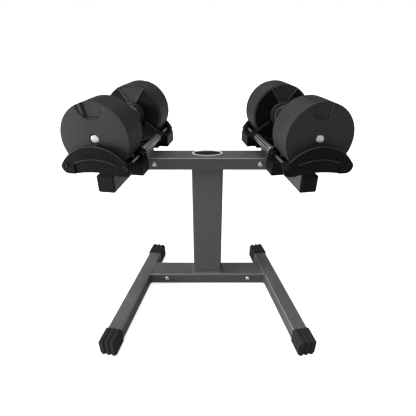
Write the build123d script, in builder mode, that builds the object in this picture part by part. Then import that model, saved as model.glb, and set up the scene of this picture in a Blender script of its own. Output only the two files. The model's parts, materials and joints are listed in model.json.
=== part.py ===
from build123d import *
import math
import os

os.makedirs("parts", exist_ok=True)

# ---------------------------------------------------------------- driving sizes, mm
# Dumbbells
plate_radius = 95.0
plate_thickness = 19.3
plate_gap = 0.6
loose_plates_per_end = 4
stack_inner_face = 94.0            # from the dumbbell's middle to its fixed plate
axis_height = 648.0                # dumbbell axis above the floor
plate_edge = 0.8                   # softening of every plate rim

selector_radius = 11.5
selector_clearance = 1.5           # around the selector in the plates
selector_recess = 1.0              # selector tip below the outer face
selector_length = 110.0
selector_chamfer = 1.2
selector_travel = 80.0

hub_radius = 40.0
hub_length = 22.0
notch_ring_radius = 33.0
notch_ring_length = 9.0
notch_count = 12
notch_width = 5.0
notch_depth = 3.0

core_radius = 14.0
core_bore_clearance = 0.5
grip_wall = 3.4
grip_running_clearance = 0.06
grip_end_gap = 0.6
grip_belly = 1.6
grip_flange_radius = 22.0
grip_flange_length = 5.0

# Dovetail at the top of every plate
slot_half_width_top = 25.0
slot_half_width_bottom = 18.0
slot_floor_height = 56.0           # above the axis
slot_depth = 6.0
recess_half_width = 39.0
recess_floor_height = 50.0
recess_depth = 2.0
tongue_clearance = 0.8
wedge_half_width_top = 46.0
wedge_half_width_bottom = 14.0
wedge_top_height = 84.0
wedge_bottom_height = 36.0
wedge_thickness = 4.0
wedge_corner = 6.0
tongue_top_height = 86.0

# Cradles
seat_clearance = 0.4               # under the plates
support_outer_radius = 112.0
support_crown_drop = 12.0          # support crown below the dumbbell axis
support_thickness = 8.0
support_inner_radius = 135.0
moulding_edge = 1.0
support_inner_drop = 52.0
support_leg_half_gap = 62.0
lobe_radius = 19.0
lobe_offset = 80.0
lobe_drop = 75.0
support_stack_gap = 12.0           # end support to the outermost plate
rest_half_width = 8.0              # small ledge on the end support, under the selector
rest_thickness = 5.0
rest_gap = 2.0
rest_drop = 1.0
rod_drop = 69.0
rod_offset = 85.0
rod_radius = 4.0
rod_thick_radius = 9.5
rod_thick_half_length = 75.0
rod_overhang = 2.0
rod_clearance = 0.05               # rods in their lobes, core tube in its sockets
mid_support_start = 84.0
hub_seat_clearance = 1.0
boss_radius = 12.0
boss_start = 76.0
boss_end = 113.0
end_boss_length = 20.0
block_start = 104.0
block_front_end = 156.0
block_rear_end = 182.0
block_half_width = 110.0
block_top_drop = 74.0

# Arms
arm_splay = 9.26                   # degrees, arms converge towards the back
arm_spacing = 261.7                # arm centre line from the middle, in line with the post
arm_width = 51.5
arm_height = 53.0
arm_top = 536.0
arm_wall = 2.5
arm_front = 169.0                  # from the dumbbell's middle
arm_rear = 195.0
arm_corner = 5.0
cap_thickness = 4.0
cap_edge = 1.5
plug_depth = 14.0
plug_clearance = 0.3
dumbbell_forward = 13.0            # dumbbell middle in front of the post's middle

# Crossbar, post, foot
crossbar_top = 535.0
crossbar_height = 41.5
crossbar_depth = 80.0
bar_wall = 2.5
bar_corner = 4.5
post_width = 106.0
post_depth = 50.0
post_wall = 3.0
post_corner = 5.0
flange_thickness = 5.0
flange_margin = 5.0
crosspiece_depth = 76.0
rail_splay = 10.54                 # degrees
rail_spacing = 243.2               # rail centre line from the middle, in line with the post
rail_width = 50.0
rail_height = 45.5
rail_top = 52.5
rail_wall = 2.5
rail_corner = 5.0
foot_front = 359.0                 # foot ends from the post's middle
foot_rear = 155.0
foot_cap_length = 54.0
foot_cap_wall = 3.0
foot_cap_shift = 1.0               # caps sit slightly outwards on the rails
foot_rib_height = 2.5
foot_rib_width = 11.0
foot_rib_pitch = 17.0
foot_rib_count = 3
foot_rib_corner = 2.0
bolt_radius = 5.0
bolt_head_radius = 8.0
bolt_head_height = 5.0
bolt_dome_radius = 4.0
nut_height = 6.0
bolt_clearance = 0.5
crosspiece_bolt_rise = 3.0         # above the crosspiece's mid height
crosspiece_bolt_x = 160.0
crossbar_bolt_x = 172.0
badge_half_length = 50.5
badge_half_width = 27.0
badge_back_shift = 8.0
badge_thickness = 2.0
badge_rim = 3.0

# ---------------------------------------------------------------- derived values
plate_pitch = plate_thickness + plate_gap
stack_outer_face = stack_inner_face + loose_plates_per_end * plate_pitch + plate_thickness
plate_hole_radius = selector_radius + selector_clearance
core_bore_radius = selector_radius + core_bore_clearance
hub_inner_face = stack_inner_face - hub_length
ring_inner_face = hub_inner_face - notch_ring_length
grip_half_length = ring_inner_face - grip_end_gap
grip_bore_radius = core_radius + grip_running_clearance
grip_radius = grip_bore_radius + grip_wall
core_socket_radius = core_radius + rod_clearance
core_half_length = stack_inner_face - 4.0
support_start = stack_outer_face + support_stack_gap
support_end = support_start + support_thickness
block_bottom_drop = axis_height - arm_top
seat_radius = plate_radius + seat_clearance
rail_bottom = rail_top - rail_height
crosspiece_bolt_z = (rail_top + rail_bottom) / 2 + crosspiece_bolt_rise

rib_reach = foot_rib_pitch + foot_rib_width / 2 - foot_rib_corner + foot_cap_shift
front_reach = foot_front + foot_rib_height * math.cos(math.radians(rail_splay))
front_reach = front_reach + rib_reach * math.sin(math.radians(rail_splay))
rear_reach = support_end * math.cos(math.radians(arm_splay)) - dumbbell_forward
rear_reach = rear_reach + (lobe_offset + lobe_radius) * math.sin(math.radians(arm_splay))
post_y = (front_reach - rear_reach) / 2
dumbbell_y = post_y - dumbbell_forward
arm_x_at_dumbbell = arm_spacing + dumbbell_forward * math.tan(math.radians(arm_splay))

block_ends = {"front": block_front_end, "rear": block_rear_end}
sides = (("left", -1), ("right", 1))
ends = (("front", -1), ("rear", 1))


def end_plane(sign, end, distance):
    """Plane square to one dumbbell's axis, facing outwards from its middle, y up."""
    place = Location((sign * arm_x_at_dumbbell, dumbbell_y, axis_height), (0, 0, sign * arm_splay))
    face = Plane(origin=(0, end * distance, 0), x_dir=(-end, 0, 0), z_dir=(0, end, 0))
    return Plane(place * face.location)


def rail_plane(sign, distance):
    """Plane square to one foot rail, facing the front, y up, at mid height."""
    place = Location((sign * rail_spacing, post_y, (rail_top + rail_bottom) / 2))
    turn = Location((0, 0, 0), (0, 0, sign * rail_splay))
    face = Plane(origin=(0, -distance, 0), x_dir=(1, 0, 0), z_dir=(0, -1, 0))
    return Plane(place * turn * face.location)


# ---------------------------------------------------------------- stand: foot rails
rail_cos = math.cos(math.radians(rail_splay))
rail_front_run = foot_front / rail_cos - foot_cap_wall
rail_rear_run = foot_rear / rail_cos - foot_cap_wall

for side, sign in sides:
    with BuildPart() as foot_rail:
        with BuildSketch(rail_plane(sign, rail_front_run)):
            RectangleRounded(rail_width, rail_height, rail_corner)
            RectangleRounded(
                rail_width - 2 * rail_wall, rail_height - 2 * rail_wall, rail_corner - rail_wall,
                mode=Mode.SUBTRACT)
        extrude(amount=-(rail_front_run + rail_rear_run))
    foot_rail.part.label = f"{side}_foot_rail"
    export_step(foot_rail.part, f"parts/{side}_foot_rail.step")

# ---------------------------------------------------------------- stand: foot caps
# Rubber boots pushed over the rail ends. Three broad ribs run along the top, down the
# end and along the sole, and the sole ribs stand on the floor.
cap_width = rail_width + 2 * foot_cap_wall
cap_top_height = rail_height / 2 + foot_cap_wall
cap_sole_height = rail_height / 2 + rail_bottom - foot_rib_height
cap_middle = (cap_top_height - cap_sole_height) / 2
cap_height = cap_top_height + cap_sole_height

for side, sign in sides:
    for end_name, end, run in (("front", 1, rail_front_run), ("rear", -1, rail_rear_run)):
        with BuildPart() as foot_cap:
            mouth = run - foot_cap_length + foot_cap_wall
            mouth_plane = rail_plane(sign, end * mouth)
            with BuildSketch(mouth_plane):
                with Locations((sign * foot_cap_shift, cap_middle)):
                    RectangleRounded(cap_width, cap_height, rail_corner)
            extrude(amount=end * foot_cap_length)
            with BuildSketch(mouth_plane):
                with Locations((sign * foot_cap_shift, cap_middle)):
                    with GridLocations(foot_rib_pitch, 1, foot_rib_count, 1):
                        RectangleRounded(
                            foot_rib_width, cap_height + 2 * foot_rib_height, foot_rib_corner)
            extrude(amount=end * (foot_cap_length + foot_rib_height))
            with BuildSketch(mouth_plane):
                RectangleRounded(
                    rail_width + 2 * plug_clearance, rail_height + 2 * plug_clearance, rail_corner)
            extrude(amount=end * (foot_cap_length - foot_cap_wall + plug_clearance), mode=Mode.SUBTRACT)
        foot_cap.part.label = f"{side}_{end_name}_foot_cap"
        export_step(foot_cap.part, f"parts/{side}_{end_name}_foot_cap.step")


# ---------------------------------------------------------------- stand: cross members
def cross_outline(spacing, half_width, splay, depth):
    """Four corners of a bar whose ends lie flat against two splayed tubes."""
    inner = spacing - half_width / math.cos(math.radians(splay))
    lean = depth / 2 * math.tan(math.radians(splay))
    front, back = inner + lean, inner - lean
    return [(-front, -depth / 2), (front, -depth / 2), (back, depth / 2), (-back, depth / 2)]


with BuildPart() as base_crosspiece:
    with BuildSketch(Plane.XY.offset(rail_bottom)):
        with Locations((0, post_y)):
            Polygon(*cross_outline(rail_spacing, rail_width / 2, rail_splay, crosspiece_depth), align=None)
    extrude(amount=rail_height)
    fillet(base_crosspiece.edges().filter_by(Axis.X), bar_corner)
    base_length = 2 * rail_spacing
    with BuildSketch(Plane.YZ.offset(-base_length / 2)):
        with Locations((post_y, (rail_top + rail_bottom) / 2)):
            RectangleRounded(
                crosspiece_depth - 2 * bar_wall, rail_height - 2 * bar_wall, bar_corner - bar_wall)
    extrude(amount=base_length, mode=Mode.SUBTRACT)
    with BuildSketch(Plane.XZ.offset(-post_y)):
        with Locations((0, crosspiece_bolt_z)):
            with GridLocations(2 * crosspiece_bolt_x, 1, 2, 1):
                Circle(bolt_radius + bolt_clearance)
    extrude(amount=crosspiece_depth, both=True, mode=Mode.SUBTRACT)
base_crosspiece.part.label = "base_crosspiece"
export_step(base_crosspiece.part, "parts/base_crosspiece.step")

with BuildPart() as top_crossbar:
    with BuildSketch(Plane.XY.offset(crossbar_top - crossbar_height)):
        with Locations((0, post_y)):
            Polygon(*cross_outline(arm_spacing, arm_width / 2, arm_splay, crossbar_depth), align=None)
    extrude(amount=crossbar_height)
    fillet(top_crossbar.edges().filter_by(Axis.X), bar_corner)
    top_length = 2 * arm_spacing
    with BuildSketch(Plane.YZ.offset(-top_length / 2)):
        with Locations((post_y, crossbar_top - crossbar_height / 2)):
            RectangleRounded(
                crossbar_depth - 2 * bar_wall, crossbar_height - 2 * bar_wall, bar_corner - bar_wall)
    extrude(amount=top_length, mode=Mode.SUBTRACT)
    with BuildSketch(Plane.XZ.offset(-post_y)):
        with Locations((0, crossbar_top - crossbar_height / 2)):
            with GridLocations(2 * crossbar_bolt_x, 1, 2, 1):
                Circle(bolt_radius + bolt_clearance)
    extrude(amount=crossbar_depth, both=True, mode=Mode.SUBTRACT)
top_crossbar.part.label = "top_crossbar"
export_step(top_crossbar.part, "parts/top_crossbar.step")

# ---------------------------------------------------------------- stand: bolts
bolt_rows = (
    ("base", crosspiece_bolt_x, crosspiece_bolt_z, crosspiece_depth),
    ("crossbar", crossbar_bolt_x, crossbar_top - crossbar_height / 2, crossbar_depth),
)
for row_name, bolt_x, bolt_z, member_depth in bolt_rows:
    with BuildPart() as bolts:
        with BuildSketch(Plane.XZ.offset(-post_y - member_depth / 2)):
            with Locations((0, bolt_z)):
                with GridLocations(2 * bolt_x, 1, 2, 1):
                    Circle(bolt_radius)
        extrude(amount=member_depth)
        with BuildSketch(Plane.XZ.offset(-post_y + member_depth / 2)):
            with Locations((0, bolt_z)):
                with GridLocations(2 * bolt_x, 1, 2, 1):
                    Circle(bolt_head_radius)
        extrude(amount=bolt_head_height)
        dome_rims = bolts.faces().group_by(Axis.Y)[0].edges()
        fillet(dome_rims, bolt_dome_radius)
        with BuildSketch(Plane.XZ.offset(-post_y - member_depth / 2)):
            with Locations((0, bolt_z)):
                with GridLocations(2 * bolt_x, 1, 2, 1):
                    RegularPolygon(bolt_head_radius, 6)
        extrude(amount=-nut_height)
    bolts.part.label = f"{row_name}_bolts"
    export_step(bolts.part, f"parts/{row_name}_bolts.step")

# ---------------------------------------------------------------- stand: post and badge
crossbar_bottom = crossbar_top - crossbar_height
with BuildPart() as post:
    with BuildSketch(Plane.XY.offset(rail_top)):
        with Locations((0, post_y)):
            RectangleRounded(post_width, post_depth, post_corner)
            RectangleRounded(
                post_width - 2 * post_wall, post_depth - 2 * post_wall, post_corner - post_wall,
                mode=Mode.SUBTRACT)
    extrude(amount=crossbar_bottom - rail_top)
    with BuildSketch(Plane.XY.offset(rail_top)):
        with Locations((0, post_y)):
            RectangleRounded(post_width + 2 * flange_margin, post_depth + 2 * flange_margin, post_corner)
    extrude(amount=flange_thickness)
post.part.label = "post"
export_step(post.part, "parts/post.step")

with BuildPart() as badge:
    with BuildSketch(Plane.XY.offset(crossbar_top)):
        with Locations((0, post_y + badge_back_shift)):
            Ellipse(badge_half_length, badge_half_width)
    extrude(amount=badge_thickness)
    with BuildSketch(Plane.XY.offset(crossbar_top + badge_thickness / 2)):
        with Locations((0, post_y + badge_back_shift)):
            Ellipse(badge_half_length - badge_rim, badge_half_width - badge_rim)
    extrude(amount=badge_thickness, mode=Mode.SUBTRACT)
badge.part.label = "badge_plate"
export_step(badge.part, "parts/badge_plate.step")

# ---------------------------------------------------------------- stand: arms and caps
arm_drop = axis_height - arm_top + arm_height / 2
for side, sign in sides:
    with BuildPart() as arm:
        with BuildSketch(end_plane(sign, -1, arm_front)):
            with Locations((0, -arm_drop)):
                RectangleRounded(arm_width, arm_height, arm_corner)
                RectangleRounded(
                    arm_width - 2 * arm_wall, arm_height - 2 * arm_wall, arm_corner - arm_wall,
                    mode=Mode.SUBTRACT)
        extrude(amount=-(arm_front + arm_rear))
    arm.part.label = f"{side}_arm"
    export_step(arm.part, f"parts/{side}_arm.step")

    for end_name, end, run in (("front", -1, arm_front), ("rear", 1, arm_rear)):
        with BuildPart() as arm_cap:
            with BuildSketch(end_plane(sign, end, run)):
                with Locations((0, -arm_drop)):
                    RectangleRounded(arm_width, arm_height, arm_corner)
            extrude(amount=cap_thickness)
            outer_face = arm_cap.faces().sort_by(Axis.Y)[0 if end < 0 else -1]
            fillet(outer_face.edges(), cap_edge)
            with BuildSketch(end_plane(sign, end, run)):
                with Locations((0, -arm_drop)):
                    RectangleRounded(
                        arm_width - 2 * (arm_wall + plug_clearance),
                        arm_height - 2 * (arm_wall + plug_clearance), arm_corner - arm_wall)
                    Rectangle(
                        arm_width - 4 * (arm_wall + plug_clearance),
                        arm_height - 4 * (arm_wall + plug_clearance), mode=Mode.SUBTRACT)
            extrude(amount=-plug_depth)
        arm_cap.part.label = f"{side}_{end_name}_arm_cap"
        export_step(arm_cap.part, f"parts/{side}_{end_name}_arm_cap.step")


# ---------------------------------------------------------------- cradles
def support_outline():
    """Arch seen along the dumbbell: round crown, two rod lobes, arched opening below."""
    lobe_bottom = lobe_drop + lobe_radius
    with BuildSketch() as outline:
        with Locations((0, -support_crown_drop - support_outer_radius)):
            Circle(support_outer_radius)
        with Locations((0, -lobe_drop)):
            Rectangle(
                4 * support_outer_radius, 4 * support_outer_radius,
                align=(Align.CENTER, Align.MAX), mode=Mode.SUBTRACT)
            Rectangle(2 * lobe_offset, lobe_radius, align=(Align.CENTER, Align.MAX))
        with Locations((-lobe_offset, -lobe_drop), (lobe_offset, -lobe_drop)):
            Circle(lobe_radius)
        with BuildSketch(mode=Mode.PRIVATE) as opening:
            with Locations((0, -support_inner_drop - support_inner_radius)):
                Circle(support_inner_radius)
            with Locations((0, -lobe_bottom)):
                Rectangle(2 * support_leg_half_gap, 2 * lobe_bottom, mode=Mode.INTERSECT)
        add(opening.sketch, mode=Mode.SUBTRACT)
    return outline.sketch


for side, sign in sides:
    for end_name, end in ends:
        with BuildPart() as end_support:
            with BuildSketch(end_plane(sign, end, support_start)):
                add(support_outline())
            extrude(amount=support_thickness)
            chamfer(end_support.edges().filter_by(GeomType.CIRCLE), moulding_edge)
            with BuildSketch(end_plane(sign, end, support_start)):
                with Locations((0, -support_crown_drop - rest_thickness / 2 - rest_drop)):
                    Rectangle(2 * rest_half_width, rest_thickness)
            extrude(amount=rest_gap - support_stack_gap)
            with BuildSketch(end_plane(sign, end, support_start)):
                with Locations((-rod_offset, -rod_drop), (rod_offset, -rod_drop)):
                    Circle(boss_radius)
            extrude(amount=-end_boss_length)
            with BuildSketch(end_plane(sign, end, support_start)):
                with Locations((-rod_offset, -rod_drop), (rod_offset, -rod_drop)):
                    Circle(rod_radius + rod_clearance)
            extrude(amount=support_thickness + end_boss_length, both=True, mode=Mode.SUBTRACT)
        end_support.part.label = f"{side}_{end_name}_end_support"
        export_step(end_support.part, f"parts/{side}_{end_name}_end_support.step")

        with BuildPart() as saddle:
            with BuildSketch(end_plane(sign, end, block_start)):
                with Locations((0, -block_bottom_drop)):
                    Rectangle(
                        2 * block_half_width, block_bottom_drop - block_top_drop,
                        align=(Align.CENTER, Align.MIN))
                Circle(seat_radius, mode=Mode.SUBTRACT)
            extrude(amount=block_ends[end_name] - block_start)
            chamfer(saddle.edges(), moulding_edge)
            with BuildSketch(end_plane(sign, end, mid_support_start)):
                add(support_outline())
                Circle(hub_radius + hub_seat_clearance, mode=Mode.SUBTRACT)
            extrude(amount=support_thickness)
            with BuildSketch(end_plane(sign, end, mid_support_start)):
                with Locations((0, -block_bottom_drop)):
                    Rectangle(
                        2 * lobe_offset, block_bottom_drop - seat_radius,
                        align=(Align.CENTER, Align.MIN))
            extrude(amount=block_start - mid_support_start)
            with BuildSketch(end_plane(sign, end, boss_start)):
                with Locations((-rod_offset, -rod_drop), (rod_offset, -rod_drop)):
                    Circle(boss_radius)
            extrude(amount=boss_end - boss_start)
            with BuildSketch(end_plane(sign, end, boss_start)):
                with Locations((-rod_offset, -rod_drop), (rod_offset, -rod_drop)):
                    Circle(rod_radius + rod_clearance)
            extrude(amount=block_ends[end_name], mode=Mode.SUBTRACT)
            with BuildSketch(end_plane(sign, end, stack_inner_face - seat_clearance)):
                Circle(seat_radius)
            extrude(amount=plate_thickness + seat_clearance, mode=Mode.SUBTRACT)
        saddle.part.label = f"{side}_{end_name}_saddle"
        export_step(saddle.part, f"parts/{side}_{end_name}_saddle.step")

    for rod_name, rod_side in (("inner", -1), ("outer", 1)):
        with BuildPart() as side_rod:
            rod_half_length = support_end + rod_overhang
            with BuildSketch(end_plane(sign, 1, -rod_half_length)):
                with Locations((-sign * rod_side * rod_offset, -rod_drop)):
                    Circle(rod_radius)
            extrude(amount=2 * rod_half_length)
            with BuildSketch(end_plane(sign, 1, -rod_thick_half_length)):
                with Locations((-sign * rod_side * rod_offset, -rod_drop)):
                    Circle(rod_thick_radius)
            extrude(amount=2 * rod_thick_half_length)
        side_rod.part.label = f"{side}_{rod_name}_side_rod"
        export_step(side_rod.part, f"parts/{side}_{rod_name}_side_rod.step")

# ---------------------------------------------------------------- dumbbells
tongue_length = plate_gap + slot_depth - tongue_clearance
tongue_bottom = slot_floor_height + tongue_clearance
tongue_half_bottom = slot_half_width_bottom - tongue_clearance
slot_lean = (slot_half_width_top - slot_half_width_bottom) / (plate_radius - slot_floor_height)
tongue_half_top = tongue_half_bottom + (tongue_top_height - tongue_bottom) * slot_lean
slot_outline = [
    (-slot_half_width_bottom, slot_floor_height), (slot_half_width_bottom, slot_floor_height),
    (slot_half_width_top, plate_radius), (-slot_half_width_top, plate_radius),
]
tongue_outline = [
    (-tongue_half_bottom, tongue_bottom), (tongue_half_bottom, tongue_bottom),
    (tongue_half_top, tongue_top_height), (-tongue_half_top, tongue_top_height),
]


with BuildSketch() as recess_outline:
    with Locations((0, recess_floor_height + recess_half_width)):
        Circle(recess_half_width)
        Rectangle(2 * recess_half_width, plate_radius, align=(Align.CENTER, Align.MIN))

for side, sign in sides:
    for end_name, end in ends:
        fixed_outer_face = stack_inner_face + plate_thickness
        with BuildPart() as handle_end:
            with BuildSketch(end_plane(sign, end, stack_inner_face)):
                Circle(plate_radius)
            extrude(amount=plate_thickness)
            fillet(handle_end.edges().filter_by(GeomType.CIRCLE), plate_edge)
            with BuildSketch(end_plane(sign, end, fixed_outer_face)):
                add(recess_outline.sketch)
            extrude(amount=-recess_depth, mode=Mode.SUBTRACT)
            with BuildSketch(end_plane(sign, end, fixed_outer_face)):
                Polygon(*slot_outline, align=None)
            extrude(amount=-slot_depth, mode=Mode.SUBTRACT)
            with BuildSketch(end_plane(sign, end, stack_inner_face)):
                Polygon(
                    (-wedge_half_width_bottom, wedge_bottom_height),
                    (wedge_half_width_bottom, wedge_bottom_height),
                    (wedge_half_width_top, wedge_top_height - wedge_corner),
                    (wedge_half_width_top - wedge_corner, wedge_top_height),
                    (wedge_corner - wedge_half_width_top, wedge_top_height),
                    (-wedge_half_width_top, wedge_top_height - wedge_corner), align=None)
            extrude(amount=-wedge_thickness)
            with BuildSketch(end_plane(sign, end, stack_inner_face)):
                Circle(hub_radius)
            extrude(amount=-hub_length)
            with BuildSketch(end_plane(sign, end, hub_inner_face)):
                Circle(notch_ring_radius)
                with PolarLocations(notch_ring_radius, notch_count):
                    Rectangle(2 * notch_depth, notch_width, mode=Mode.SUBTRACT)
            extrude(amount=-notch_ring_length)
            with BuildSketch(end_plane(sign, end, ring_inner_face)):
                Circle(core_socket_radius)
            extrude(amount=core_half_length - ring_inner_face + plug_clearance, mode=Mode.SUBTRACT)
            with BuildSketch(end_plane(sign, end, ring_inner_face)):
                Circle(core_bore_radius)
            extrude(amount=stack_outer_face, mode=Mode.SUBTRACT)
        handle_end.part.label = f"{side}_{end_name}_handle_end"
        export_step(handle_end.part, f"parts/{side}_{end_name}_handle_end.step")

        for number in range(1, loose_plates_per_end + 1):
            plate_inner_face = stack_inner_face + number * plate_pitch
            with BuildPart() as plate:
                with BuildSketch(end_plane(sign, end, plate_inner_face)):
                    Circle(plate_radius)
                extrude(amount=plate_thickness)
                fillet(plate.edges().filter_by(GeomType.CIRCLE), plate_edge)
                with BuildSketch(end_plane(sign, end, plate_inner_face + plate_thickness)):
                    add(recess_outline.sketch)
                extrude(amount=-recess_depth, mode=Mode.SUBTRACT)
                with BuildSketch(end_plane(sign, end, plate_inner_face + plate_thickness)):
                    Polygon(*slot_outline, align=None)
                extrude(amount=-slot_depth, mode=Mode.SUBTRACT)
                with BuildSketch(end_plane(sign, end, plate_inner_face)):
                    Polygon(*tongue_outline, align=None)
                extrude(amount=-tongue_length)
                with BuildSketch(end_plane(sign, end, plate_inner_face)):
                    Circle(plate_hole_radius)
                extrude(amount=plate_thickness, mode=Mode.SUBTRACT)
            plate.part.label = f"{side}_{end_name}_plate_{number}"
            export_step(plate.part, f"parts/{side}_{end_name}_plate_{number}.step")

        with BuildPart() as selector:
            selector_tip = stack_outer_face - selector_recess
            with BuildSketch(end_plane(sign, end, selector_tip - selector_length)):
                Circle(selector_radius)
            extrude(amount=selector_length)
            chamfer(selector.edges().filter_by(GeomType.CIRCLE), selector_chamfer)
        selector.part.label = f"{side}_{end_name}_selector"
        export_step(selector.part, f"parts/{side}_{end_name}_selector.step")

    with BuildPart() as core_tube:
        with BuildSketch(end_plane(sign, 1, -core_half_length)):
            Circle(core_radius)
            Circle(core_bore_radius, mode=Mode.SUBTRACT)
        extrude(amount=2 * core_half_length)
    core_tube.part.label = f"{side}_core_tube"
    export_step(core_tube.part, f"parts/{side}_core_tube.step")

    grip_side_plane = Plane(
        Location((sign * arm_x_at_dumbbell, dumbbell_y, axis_height), (0, 0, sign * arm_splay)))
    with BuildPart() as grip:
        with BuildSketch(grip_side_plane):
            with BuildLine():
                flange_start = grip_half_length - grip_flange_length
                Polyline(
                    (grip_radius, -flange_start), (grip_flange_radius, -flange_start),
                    (grip_flange_radius, -grip_half_length), (grip_bore_radius, -grip_half_length),
                    (grip_bore_radius, grip_half_length), (grip_flange_radius, grip_half_length),
                    (grip_flange_radius, flange_start), (grip_radius, flange_start))
                ThreePointArc(
                    (grip_radius, flange_start), (grip_radius + grip_belly, 0),
                    (grip_radius, -flange_start))
            make_face()
        revolve(axis=Axis(grip_side_plane.origin, grip_side_plane.y_dir))
    grip.part.label = f"{side}_grip"
    export_step(grip.part, f"parts/{side}_grip.step")
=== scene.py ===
# %% [markdown]
# # Two adjustable dumbbells on their stand
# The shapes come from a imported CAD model, which is loaded first and never moved. Blender adds what
# CAD leaves out: paint, cast iron, rubber and steel, and small pieces such as weld beads and ribs.
# They are placed from the model's measured boxes wherever a box says enough.

import json
import math

import bmesh
import bpy
from mathutils import Matrix, Vector


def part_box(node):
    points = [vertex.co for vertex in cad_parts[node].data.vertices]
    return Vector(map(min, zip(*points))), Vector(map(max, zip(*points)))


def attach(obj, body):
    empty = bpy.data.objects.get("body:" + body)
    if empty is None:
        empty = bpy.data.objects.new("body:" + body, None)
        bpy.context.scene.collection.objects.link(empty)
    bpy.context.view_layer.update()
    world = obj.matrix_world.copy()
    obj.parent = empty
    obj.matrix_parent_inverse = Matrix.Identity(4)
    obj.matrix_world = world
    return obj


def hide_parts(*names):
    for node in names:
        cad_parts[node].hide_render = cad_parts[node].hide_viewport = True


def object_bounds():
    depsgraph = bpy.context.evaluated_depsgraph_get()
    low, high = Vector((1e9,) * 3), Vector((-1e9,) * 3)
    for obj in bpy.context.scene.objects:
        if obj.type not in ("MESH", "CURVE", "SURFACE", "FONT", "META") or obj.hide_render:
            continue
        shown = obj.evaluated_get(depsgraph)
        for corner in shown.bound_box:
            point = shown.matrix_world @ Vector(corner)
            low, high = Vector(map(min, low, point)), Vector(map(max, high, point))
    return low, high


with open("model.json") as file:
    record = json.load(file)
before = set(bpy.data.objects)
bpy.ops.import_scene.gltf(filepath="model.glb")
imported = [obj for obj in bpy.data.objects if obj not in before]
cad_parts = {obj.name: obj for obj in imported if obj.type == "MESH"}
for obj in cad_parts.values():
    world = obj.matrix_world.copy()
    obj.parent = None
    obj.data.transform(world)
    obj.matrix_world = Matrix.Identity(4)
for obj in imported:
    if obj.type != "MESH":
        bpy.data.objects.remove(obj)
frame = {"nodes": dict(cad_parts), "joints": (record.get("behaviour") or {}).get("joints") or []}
cad_low, cad_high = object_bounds()
print("parts:", len(frame["nodes"]), "size:", [round(v, 3) for v in cad_high - cad_low])

# %% [markdown]
# ## One small coordinate system for each dumbbell
# The dumbbells lie at an angle, so "along the handle" isn't the world's Y. The twist joint knows
# each handle's middle and direction. From that comes a matrix: x across the dumbbell, y along the
# handle to the back, z up. Pieces are drawn straight, and the matrix turns them into place.

# %% Handle frames from the twist joints
MM = 0.001
SIDES = ("left", "right")
ENDS = (("front", -1), ("rear", 1))
HANDLE_ENDS = [(side, end_name, end) for side in SIDES for end_name, end in ENDS]
RODS = [(side, rod) for side in SIDES for rod in ("inner", "outer")]
RIM_FROM = 89.6 * MM
handle_frame = {}
for joint in frame["joints"]:
    if joint["name"].endswith("_twist"):
        along = Vector(joint["axis"]).normalized()
        up = Vector((0, 0, 1))
        across = along.cross(up).normalized()
        matrix = Matrix((across, along, up)).transposed().to_4x4()
        matrix.translation = Vector(joint["pos_m"])
        handle_frame[joint["name"].split("_")[0]] = matrix
print("handle frames:", {k: [round(v, 4) for v in m.translation] for k, m in handle_frame.items()})


def reach(node, side, axis):
    """How far a CAD node goes, lowest and highest, along one axis of its side's handle frame."""
    inverse = handle_frame[side].inverted()
    values = [(inverse @ v.co)[axis] for v in frame["nodes"][node].data.vertices]
    return min(values), max(values)


def placed(side, x, y, z):
    """A point of a side's handle frame, in the world."""
    return handle_frame[side] @ Vector((x, y, z))


def ring(side, centre_x, centre_z, y, radii):
    """Points round a line beside the handle, with a radius for each point."""
    angles = [2 * math.pi * step / len(radii) for step in range(len(radii))]
    return [placed(side, centre_x + r * math.cos(a), y, centre_z + r * math.sin(a))
            for a, r in zip(angles, radii)]


def end_face(node, side, end):
    """Where a CAD node's outer face lies along the handle: end is -1 at the front, 1 at the rear."""
    return reach(node, side, 1)[1 if end > 0 else 0]


def disc_face(side, end_name):
    """Distance from the handle's middle to the inner face of a fixed disc."""
    inverse = handle_frame[side].inverted()
    rim = []
    for vertex in frame["nodes"][f"{side}_{end_name}_handle_end"].data.vertices:
        local = inverse @ vertex.co
        if math.hypot(local.x, local.z) > RIM_FROM:
            rim.append(abs(local.y))
    return min(rim)


# %% [markdown]
# ## The camera
# Someone stands close and looks down a little, so the lens is wide and the camera near. A long lens
# from far away would flatten the stand. The post's front face, in the middle, is the starting point.

# %% Camera
CAMERA_AWAY = 1.0117
CAMERA_HEIGHT = 0.9061
CAMERA_DOWN = 29.07
flange_edge = 5 * MM
post_low, post_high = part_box("post")
post_front = post_low.y + flange_edge
camera_data = bpy.data.cameras.new("Camera")
camera_data.lens = 28.29
camera_data.sensor_width = 36.0
camera_data.shift_x = 0.0014
camera = bpy.data.objects.new("Camera", camera_data)
camera.location = (0, post_front - CAMERA_AWAY, CAMERA_HEIGHT)
camera.rotation_euler = (math.radians(90 - CAMERA_DOWN), 0, 0)
bpy.context.scene.collection.objects.link(camera)
bpy.context.scene.camera = camera
print("camera at", [round(v, 3) for v in camera.location])

# %% [markdown]
# ## Floor, backdrop and light
# The stand is shown as in a catalogue: plain white all round. A wide pale floor under a very soft
# sun stays white, and still takes a faint shadow. A large soft lamp at the left gives the dark parts
# their shape. The world is dim as a light, and white only where the camera looks at it.

# %% Floor
FLOOR_HALF = 40.0
floor_mesh = bpy.data.meshes.new("floor")
corners = [(-FLOOR_HALF, -FLOOR_HALF, 0), (FLOOR_HALF, -FLOOR_HALF, 0),
           (FLOOR_HALF, FLOOR_HALF, 0), (-FLOOR_HALF, FLOOR_HALF, 0)]
floor_mesh.from_pydata(corners, [], [(0, 1, 2, 3)])
floor = bpy.data.objects.new("floor", floor_mesh)
bpy.context.scene.collection.objects.link(floor)

# %% World and lamps


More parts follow.
